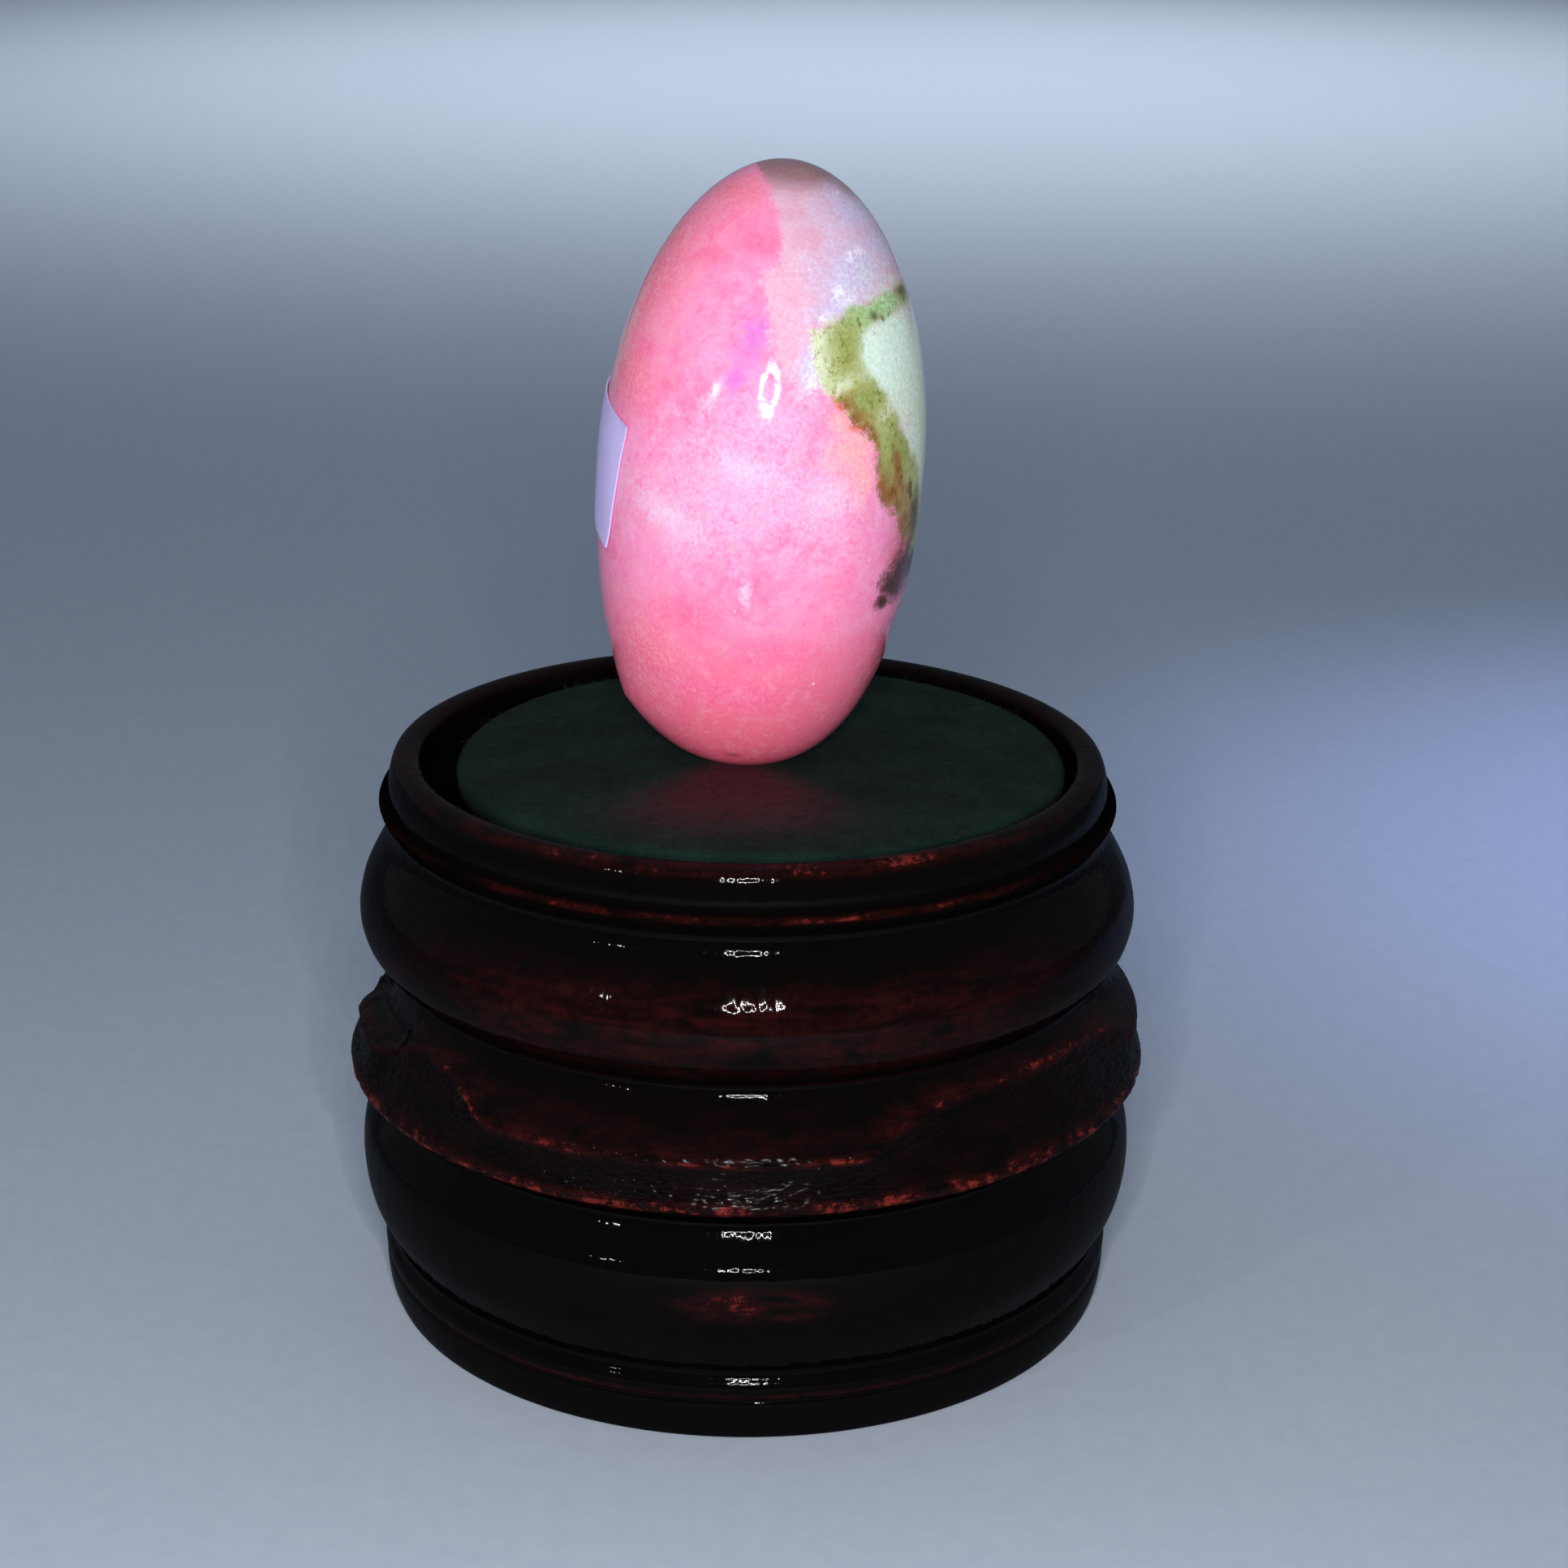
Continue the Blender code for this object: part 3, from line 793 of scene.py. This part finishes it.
def stone_radius(up):
    """The egg's radius at a height along its axis: two half ovals that meet at its widest."""
    widest = STONE_WIDEST * STONE_LENGTH
    if up >= widest:
        share, power = (up - widest) / (STONE_LENGTH - widest), STONE_TOP_POWER
    else:
        share, power = (widest - up) / widest, STONE_BASE_POWER
    return STONE_RADIUS * max(0.0, 1.0 - min(1.0, share) ** power) ** (1.0 / power)


def stone_frame(azimuth, up):
    """A place on the egg, and its directions to the right, up the surface and out of it."""
    step = 0.01 * MM
    rise = stone_radius(up + step) - stone_radius(up - step)
    tilt = math.atan2(rise, 2.0 * step)
    out = around(azimuth) * math.cos(tilt) - Vector((0.0, 0.0, math.sin(tilt)))
    across = around(azimuth + 90.0)
    return around(azimuth) * stone_radius(up) + Vector((0.0, 0.0, up)), across, out.cross(across), out


def oval_depth(spots, ovals):
    """How deep each spot is in a set of ovals: 1 at an oval's middle, 0 on its outline, less outside."""
    depth = np.full(len(spots), OUTSIDE_OVALS)
    for azimuth, up, wide, high, tilt in ovals:
        centre, across, upward, out = (np.array(part) for part in stone_frame(azimuth, up * MM))
        lean = math.radians(tilt)
        along_it = upward * math.cos(lean) + across * math.sin(lean)
        beside_it = across * math.cos(lean) - upward * math.sin(lean)
        offset = (spots - centre) / MM
        x, y, z = offset @ beside_it / wide, offset @ along_it / high, offset @ out / max(wide, high)
        depth = np.maximum(depth, 1.0 - np.sqrt(x * x + y * y + z * z))
    return depth


def polar(azimuth, up):
    """A place on the stone on a flat plan: its direction from the tip, at its distance below the tip."""
    reach = STONE_LENGTH / MM - up
    return np.stack([reach * np.sin(np.radians(azimuth)), -reach * np.cos(np.radians(azimuth))], -1)


def zone_depth(places, spots, loops):
    """The distance in millimetres from each spot to the border of a set of loops, above 0 inside them."""
    plan = polar(*places.T)
    inside = np.zeros(len(spots), bool)
    nearest = np.full(len(spots), OUTSIDE_LOOPS)
    for loop in loops:
        corners = polar(*np.array(loop).T)
        for start, end in zip(corners, np.roll(corners, -1, 0)):
            crossed = (start[1] > plan[:, 1]) != (end[1] > plan[:, 1])
            slope = (end[0] - start[0]) / (end[1] - start[1] or 1e-9)
            inside ^= crossed & (plan[:, 0] < start[0] + slope * (plan[:, 1] - start[1]))
            for share in np.arange(0.0, 1.0, BORDER_STEP / max(BORDER_STEP, np.linalg.norm(end - start))):
                x, y = mix(start, end, share)
                border = stone_frame(math.degrees(math.atan2(x, -y)), STONE_LENGTH - math.hypot(x, y) * MM)[0]
                nearest = np.minimum(nearest, np.linalg.norm(spots - np.array(border), axis=1) / MM)
    return np.where(inside, nearest, -nearest)


def build_stone():
    """The polished egg, pressed flat where it rests, with the depth of each mark stored on its points."""
    places, spots, frames = [], [], []
    for row in range(1, STONE_ROWS):
        up = STONE_LENGTH * 0.5 * (1.0 + math.cos(math.pi * row / STONE_ROWS))
        for segment in range(STONE_SEGMENTS):
            azimuth = turned_apart(360.0 * segment / STONE_SEGMENTS, 0.0)
            spot, _, _, out = stone_frame(azimuth, up)
            places.append((azimuth, up / MM))
            spots.append(spot)
            frames.append(out)
    swell = relief(np.array(spots), spots)
    shaped = [rest_flat(spot + out * rise) for spot, out, rise in zip(spots, frames, swell)]
    rings = [shaped[start:start + STONE_SEGMENTS] for start in range(0, len(shaped), STONE_SEGMENTS)]
    tip = Vector((0.0, 0.0, STONE_LENGTH - TIP_DROP))
    foot = Vector((0.0, 0.0, 0.0))
    stone = closed_turning("tugtupite_egg", rings, tip, rest_flat(foot))
    places = np.array(places + [(0.0, STONE_LENGTH / MM), (0.0, 0.0)])
    spots = np.array([*spots, tip, foot])
    attribute(stone, "up", places[:, 1])
    for name, *_, ovals in (*PINK_MARKS, *PALE_MARKS, *VEIN_MARKS, *DARK_MARKS):
        attribute(stone, name, oval_depth(spots, ovals))
    attribute(stone, "pale", zone_depth(places, spots, PALE_ZONE))
    attribute(stone, "vein", zone_depth(places, spots, VEIN_ZONE))
    stone.data.transform(LEAN)
    dress(stone, tugtupite(), "tugtupite", "stone")


def relief(where, spots):
    """How far the hand-polished surface stands off the even egg at each spot, in metres."""
    rise = np.array([DENTS * (speckle(spot, DENT_SIZE, 2) - DENT_OFFSET) for spot in spots])
    for *place, depth in STONE_SWELLS:
        rise += depth * np.clip(oval_depth(where, ((*place, 0.0),)), 0.0, 1.0) ** 1.5
    return rise * MM


def rest_flat(point):
    """Presses a point of the leaning egg up to the level plane on which it rests."""
    level = (STONE_REST - STONE_BASE.z + point.x * math.sin(STONE_LEAN)) / math.cos(STONE_LEAN)
    return Vector((point.x, point.y, max(point.z, level)))


def tugtupite():
    """Polished pink stone: pale clouds and coral patches, a lilac-grey zone and an olive vein."""
    shader = Shader("tugtupite")
    fine = shader.noise(0.24 * MM, 6.0, 0.8)
    medium = shader.noise(1.3 * MM, 6.0, 0.65, 0.3)
    broad = shader.noise(4.5 * MM, 4.0, 0.55, 0.3)
    wander = shader.math("MULTIPLY_ADD", medium, 2.0, -1.0)
    fray = shader.math("MULTIPLY_ADD", fine, 2.0, -1.0)

    def share_of(name, rough, low, high):
        """A mark's share from its stored depth, with a wandering and frayed border."""
        moved = shader.math("MULTIPLY_ADD", wander, rough, shader.number(name))
        return shader.step(shader.math("MULTIPLY_ADD", fray, 1.1 * rough, moved), low, high)

    def painted(look, marks):
        """A colour with a set of marks laid over it, the last one on top."""
        for name, first, second, rough, low, high, _ in marks:
            tint = shader.blend(shader.step(fine, 0.35, 0.65), colour(*first), colour(*second))
            look = shader.blend(share_of(name, rough, low, high), look, tint)
        return look

    pink = shader.blend(shader.step(broad, 0.35, 0.65), colour(255, 142, 186), colour(255, 160, 204))
    pink = shader.blend(shader.step(medium, 0.40, 0.66), pink, colour(255, 170, 212))
    up = shader.number("up")
    # Coral towards the foot; the deeper step within 4 mm of the foot is painted shade from the felt round it.
    pink = shader.blend(shader.step(up, 15.0, 4.0), pink, colour(255, 126, 156))
    pink = shader.blend(shader.step(up, 4.0, 0.5), pink, colour(255, 112, 140))
    look = painted(pink, PINK_MARKS)
    blotch = shader.noise(0.8 * MM, 6.0, 0.75, 0.4)
    warm = shader.math("MULTIPLY", shader.step(blotch, 0.48, 0.68), 0.5)
    look = shader.blend(warm, look, colour(255, 176, 192))
    deep = shader.math("MULTIPLY", shader.step(blotch, 0.46, 0.32), 0.5)
    look = shader.blend(deep, look, colour(252, 112, 162))
    pale = shader.blend(shader.step(medium, 0.35, 0.65), colour(226, 180, 202), colour(232, 196, 214))
    pale = shader.blend(shader.step(up, 33.8, 35.2), pale, colour(166, 128, 134))
    look = shader.blend(share_of("pale", 0.7, -0.28, 0.34), look, painted(pale, PALE_MARKS))
    olive = shader.blend(shader.step(medium, 0.36, 0.58), colour(148, 166, 86), colour(198, 216, 142))
    olive = shader.blend(shader.step(fine, 0.42, 0.66), olive, colour(212, 228, 174))
    olive = painted(olive, VEIN_MARKS)
    grit = shader.noise(1.0, 4.0, 0.7, 0.5, shader.stretched((3600.0, 3600.0, 1700.0)))
    olive = shader.blend(shader.step(grit, 0.52, 0.72), olive, colour(176, 164, 118), "MULTIPLY")
    vein = share_of("vein", 0.8, -0.26, 0.30)
    look = shader.blend(vein, look, olive)
    look = painted(look, DARK_MARKS)
    grain = shader.blend(shader.step(fine, 0.35, 0.65), colour(252, 230, 237), colour(255, 255, 255))
    shader.set(Base_Color=shader.blend(0.9, look, grain, "MULTIPLY"))
    shader.set(Roughness=shader.math("MULTIPLY_ADD", vein, 0.12, 0.065))
    shader.set(Specular_IOR_Level=0.12, IOR=1.5, Subsurface_Weight=0.2, Subsurface_Scale=1.0 * MM)
    shader.set(Subsurface_Radius=(1.0, 0.45, 0.4))
    polish = shader.bump(shader.noise(1.4 * MM, 3.0), 0.007 * MM)
    polish = shader.bump(shader.noise(0.22 * MM, 2.0), 0.005 * MM, 1.0, polish)
    pits = shader.math("MULTIPLY", vein, fine)
    shader.set(Normal=shader.bump(pits, 0.03 * MM, 0.5, polish))
    return shader


# The label


def label_point(across, upward, out):
    """A point of the label, from its place on the flat sheet, laid on the egg."""
    turned = Matrix.Rotation(math.radians(-LABEL_TILT), 2) @ Vector((across, upward))
    up = LABEL_UP_THE_STONE + turned.y
    azimuth = LABEL_AZIMUTH + math.degrees(turned.x / stone_radius(up))
    spot, _, _, outward = stone_frame(azimuth, up)
    return spot, outward * out


def build_label():
    """A thin sheet glued to the egg, with a soft ripple and corners that lift a little."""
    spots, lifts = [], []
    for side in (0.0, 1.0):
        for line in range(LABEL_LINES + 1):
            for column in range(LABEL_COLUMNS + 1):
                x = column / LABEL_COLUMNS - 0.5
                y = line / LABEL_LINES - 0.5
                lift = CORNER_LIFT * (4.0 * abs(x * y)) ** 5
                ripple = LABEL_RIPPLE * (1.0 + noise.noise(Vector((x * 5.0, y * 4.0, 0.3))))
                out = LABEL_GAP + lift + ripple + side * LABEL_THICKNESS
                spot, offset = label_point(LABEL_WIDTH * x, LABEL_HEIGHT * y, out)
                spots.append(spot)
                lifts.append(offset)
    swell = relief(np.array(spots), spots)
    points = [spot + lift + lift.normalized() * float(rise) for spot, lift, rise in zip(spots, lifts, swell)]
    wide = LABEL_COLUMNS + 1
    sheet = wide * (LABEL_LINES + 1)
    faces = []
    for line in range(LABEL_LINES):
        for column in range(LABEL_COLUMNS):
            corner = line * wide + column
            quad = (corner, corner + 1, corner + 1 + wide, corner + wide)
            faces.append(tuple(sheet + index for index in quad))
            faces.append(tuple(reversed(quad)))
    border = list(range(LABEL_COLUMNS))
    border += [line * wide + LABEL_COLUMNS for line in range(LABEL_LINES)]
    border += [LABEL_LINES * wide + column for column in range(LABEL_COLUMNS, 0, -1)]
    border += [line * wide for line in range(LABEL_LINES, 0, -1)]
    for here, after in zip(border, border[1:] + border[:1]):
        faces.append((here, after, sheet + after, sheet + here))
    label = mesh_object("paper_label", points, faces)
    label.data.set_sharp_from_angle(angle=math.radians(40.0))
    label.data.transform(LEAN)
    dress(label, paper(), "paper", "label")


def paper():
    """Bright white paper with a cool cast, a fibrous tooth and slightly greyed patches."""
    shader = Shader("paper")
    fibres = shader.noise(0.14 * MM, 5.0, 0.7)
    stains = shader.noise(2.5 * MM, 3.0)
    base = shader.blend(fibres, colour(194, 182, 250), colour(228, 218, 255))
    shader.set(Base_Color=shader.blend(shader.step(stains, 0.45, 0.8), base, colour(204, 190, 242)))
    shader.set(Roughness=0.62, Specular_IOR_Level=0.35)
    shader.set(Normal=shader.bump(fibres, 0.02 * MM, 0.5))
    return shader


# The room


def build_floor():
    """A plain pale floor, wide enough to fill the view."""
    corners = [(x * FLOOR_HALF_SIDE, y * FLOOR_HALF_SIDE, -FLOOR_DROP)
               for x, y in ((-1, -1), (1, -1), (1, 1), (-1, 1))]
    floor = mesh_object("floor", corners, [(0, 1, 2, 3)])
    shader = Shader("floor")
    tooth = shader.noise(1.5 * MM, 4.0)
    shader.set(Base_Color=shader.blend(tooth, colour(176, 186, 202), colour(188, 198, 212)))
    shader.set(Roughness=0.8, Specular_IOR_Level=0.2)
    floor.data.materials.append(shader.material)


def build_world():
    """Soft light from all round, dimmer from the camera's side."""
    world = bpy.data.worlds.new("room")
    world.use_nodes = True
    bpy.context.scene.world = world
    tree = world.node_tree
    place = tree.nodes.new("ShaderNodeTexCoord")
    split = tree.nodes.new("ShaderNodeSeparateXYZ")
    spread = tree.nodes.new("ShaderNodeMapRange")
    blend = tree.nodes.new("ShaderNodeMix")
    blend.data_type = "RGBA"
    tree.links.new(place.outputs["Generated"], split.inputs[0])
    tree.links.new(split.outputs["Y"], spread.inputs["Value"])
    spread.inputs["From Min"].default_value, spread.inputs["From Max"].default_value = ROOM_FADE
    tree.links.new(spread.outputs["Result"], blend.inputs["Factor"])
    dim, bright = [socket for socket in blend.inputs if socket.type == "RGBA"]
    dim.default_value, bright.default_value = ROOM_DIM, ROOM_BRIGHT
    colours = [socket for socket in blend.outputs if socket.type == "RGBA"]
    tree.links.new(colours[0], tree.nodes["Background"].inputs["Color"])


def light(name, kind, place, power, tint):
    """A lamp of one of Blender's kinds. It shines straight down until it is turned."""
    data = bpy.data.lights.new(name, kind)
    data.energy = power
    data.color = tint
    made = bpy.data.objects.new(name, data)
    bpy.context.scene.collection.objects.link(made)
    made.location = place
    return made


def lamp(name, place, size, power, tint):
    """A round lamp that shines at the middle of the object and isn't seen itself."""
    made = light(name, "AREA", place, power, tint)
    made.data.shape = "DISK"
    made.data.size = size
    made.rotation_euler = (AIM - place).to_track_quat("-Z", "Y").to_euler()
    made.visible_camera = False


def floor_spot(name, place, power, angle, tint):
    """A soft-edged spot that shines straight down at the floor, clear of the object."""
    made = light(name, "SPOT", place, power, tint)
    made.data.spot_size = math.radians(angle)
    made.data.spot_blend = 1.0
    made.data.shadow_soft_size = SPOT_SIZE


def camera_axes():
    """The camera's right, up and forward directions."""
    level = Vector((math.sin(CAMERA_YAW), math.cos(CAMERA_YAW), 0.0))
    forward = level * math.cos(CAMERA_PITCH) - Vector((0.0, 0.0, math.sin(CAMERA_PITCH)))
    right = Vector((math.cos(CAMERA_YAW), -math.sin(CAMERA_YAW), 0.0))
    up = right.cross(forward)
    rolled_right = right * math.cos(CAMERA_ROLL) + up * math.sin(CAMERA_ROLL)
    rolled_up = up * math.cos(CAMERA_ROLL) - right * math.sin(CAMERA_ROLL)
    return rolled_right, rolled_up, forward


def build_lights():
    """The ring of small lamps round the lens, the lamp on the left and the two spots on the floor."""
    right, up, _ = camera_axes()
    for index in range(RING_LAMPS):
        turn = 2.0 * math.pi * index / RING_LAMPS
        place = CAMERA_PLACE + (right * math.cos(turn) + up * math.sin(turn)) * RING_RADIUS
        lamp(f"ring_lamp_{index}", place, RING_LAMP_SIZE, RING_POWER / RING_LAMPS, RING_TINT)
    side = around(SIDE_LAMP_AZIMUTH) * SIDE_LAMP_DISTANCE + Vector((0.0, 0.0, SIDE_LAMP_HEIGHT))
    lamp("side_lamp", side, SIDE_LAMP_SIZE, SIDE_LAMP_POWER, SIDE_LAMP_TINT)
    floor_spot("glow", GLOW_PLACE, GLOW_POWER, GLOW_ANGLE, GLOW_TINT)
    floor_spot("blue_glow", BLUE_PLACE, BLUE_POWER, BLUE_ANGLE, BLUE_TINT)


def build_camera():
    """The photograph's camera, with its focal length and its turn and tilt."""
    data = bpy.data.cameras.new("camera")
    data.sensor_width = SENSOR_WIDTH
    data.lens = FOCAL_PIXELS / IMAGE_SIDE * SENSOR_WIDTH
    data.clip_start = 1.0 * MM
    camera = bpy.data.objects.new("camera", data)
    bpy.context.scene.collection.objects.link(camera)
    right, up, forward = camera_axes()
    matrix = Matrix((right, up, -forward)).transposed().to_4x4()
    matrix.translation = CAMERA_PLACE
    camera.matrix_world = matrix
    bpy.context.scene.camera = camera


build_stand()
build_pad()
build_stone()
build_label()
build_floor()
build_world()
build_lights()
build_camera()
bpy.context.scene.view_settings.view_transform = "Standard"
